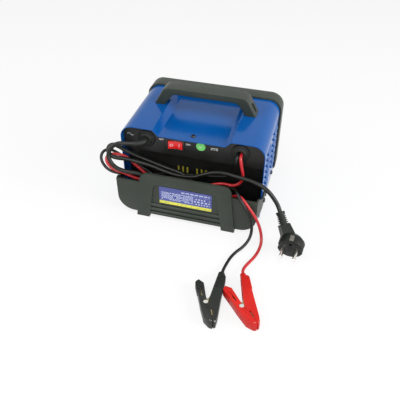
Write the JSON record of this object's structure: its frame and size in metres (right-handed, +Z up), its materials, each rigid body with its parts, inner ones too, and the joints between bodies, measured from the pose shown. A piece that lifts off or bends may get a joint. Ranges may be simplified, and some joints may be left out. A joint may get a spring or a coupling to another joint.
{
  "type": "car battery charger",
  "caption": "Transformer battery charger in a folded blue steel case with a carrying handle, a rear tray for its leads, an earthed plug and two spring clamps.",
  "frame": {"origin": "on the floor under the middle of the case", "axes": "+X to the right as seen from the cable tray, +Y from the cable tray towards the control panel, +Z up"},
  "size_m": [0.3239, 0.3731, 0.1675],
  "materials": {
    "case_blue": "gloss enamel",
    "panel_dark": "satin enamel",
    "black_moulding": "fine satin grain",
    "switch_black": "gloss",
    "rocker_red": "translucent gloss",
    "grommet_rubber": "matte",
    "foot_rubber": "matte",
    "zinc_steel": "zinc plated",
    "label_film": "printed film",
    "sticker_green": "printed paper",
    "meter_clear": "clear",
    "meter_needle_black": "painted black",
    "lamp_lens": "translucent",
    "board_green": "satin",
    "core_steel": "varnished",
    "winding_copper": "enamelled copper",
    "bobbin_plastic": "natural",
    "aluminium_fin": "mill finish",
    "mains_jacket": "satin vinyl",
    "red_jacket": "satin vinyl",
    "black_jacket": "satin vinyl",
    "clamp_red": "satin",
    "clamp_black": "satin",
    "nickel_pin": "nickel plated"
  },
  "bodies": {
    "charger": {"cover": "case_blue", "rear_panel": "panel_dark", "base_pan": "panel_dark", "front_panel": "panel_dark", "cover_screws": "zinc_steel", "tray_screws": "zinc_steel", "handle_screws": "zinc_steel", "transformer_bolts": "zinc_steel", "front_bezel": "black_moulding", "cable_tray": "black_moulding", "handle": "black_moulding", "rubber_feet": "foot_rubber", "rating_label": "label_film", "mains_grommet": "grommet_rubber", "output_grommet": "grommet_rubber", "inspection_sticker": "sticker_green", "power_switch_case": "switch_black", "voltage_switch_case": "switch_black", "rate_switch_case": "switch_black", "ammeter_case": "switch_black", "ammeter_window": "meter_clear", "indicator_lamps": "lamp_lens", "lamp_board": "board_green", "breaker_case": "switch_black", "transformer_core": "core_steel", "winding_bobbin": "bobbin_plastic", "primary_winding": "winding_copper", "secondary_winding": "winding_copper", "transformer_frame": "zinc_steel", "heatsink": "aluminium_fin", "bridge_rectifier": "switch_black", "terminal_block": "bobbin_plastic", "mains_lead_start": "mains_jacket", "mains_hank": "mains_jacket", "mains_lead_end": "mains_jacket", "red_lead": "red_jacket", "black_lead": "black_jacket", "inner_mains_cable": "mains_jacket", "inner_output_cables": "black_jacket", "plug_body": "black_moulding", "plug_pins": "nickel_pin", "plug_earth_clips": "nickel_pin", "red_clamp_fixed_grip": "clamp_red", "red_clamp_fixed_lever": "zinc_steel", "red_clamp_pin": "nickel_pin", "red_clamp_spring": "zinc_steel", "black_clamp_fixed_grip": "clamp_black", "black_clamp_fixed_lever": "zinc_steel", "black_clamp_pin": "nickel_pin", "black_clamp_spring": "zinc_steel"},
    "power_rocker": {"power_rocker": "rocker_red"},
    "voltage_rocker": {"voltage_rocker": "switch_black"},
    "rate_rocker": {"rate_rocker": "switch_black"},
    "ammeter_needle": {"ammeter_needle": "meter_needle_black"},
    "breaker_button": {"breaker_button": "clamp_red"},
    "red_clamp_jaw": {"red_clamp_moving_grip": "clamp_red", "red_clamp_moving_lever": "zinc_steel"},
    "black_clamp_jaw": {"black_clamp_moving_grip": "clamp_black", "black_clamp_moving_lever": "zinc_steel"}
  },
  "joints": [
    {"name": "power_switch", "type": "hinge", "parent": "charger", "child": "power_rocker", "pos_m": [-0.0265, -0.051, 0.1115], "axis": [0, 0, -1], "range_deg": [0, 12]},
    {"name": "voltage_selector", "type": "hinge", "parent": "charger", "child": "voltage_rocker", "pos_m": [-0.034, 0.0831, 0.088], "axis": [-1, 0, 0], "range_deg": [0, 12]},
    {"name": "rate_selector", "type": "hinge", "parent": "charger", "child": "rate_rocker", "pos_m": [-0.074, 0.0831, 0.088], "axis": [-1, 0, 0], "range_deg": [0, 12]},
    {"name": "needle_swing", "type": "hinge", "parent": "charger", "child": "ammeter_needle", "pos_m": [0.042, 0.0786, 0.067], "axis": [0, -1, 0], "range_deg": [0, 84], "stiffness_Nm_per_rad": 0.0002},
    {"name": "breaker_reset", "type": "slide", "parent": "charger", "child": "breaker_button", "axis": [0, -1, 0], "range_m": [0, 0.004], "stiffness_N_per_m": 250},
    {"name": "red_clamp_opening", "type": "hinge", "parent": "charger", "child": "red_clamp_jaw", "pos_m": [0.1193, -0.2389, 0.007], "axis": [0, 0, -1], "range_deg": [0, 22], "stiffness_Nm_per_rad": 0.6, "springref_deg": -17.19, "deforming": ["red_clamp_spring"]},
    {"name": "black_clamp_opening", "type": "hinge", "parent": "charger", "child": "black_clamp_jaw", "pos_m": [0.0729, -0.2448, 0.007], "axis": [0, 0, -1], "range_deg": [0, 22], "stiffness_Nm_per_rad": 0.6, "springref_deg": -17.19, "deforming": ["black_clamp_spring"]}
  ]
}
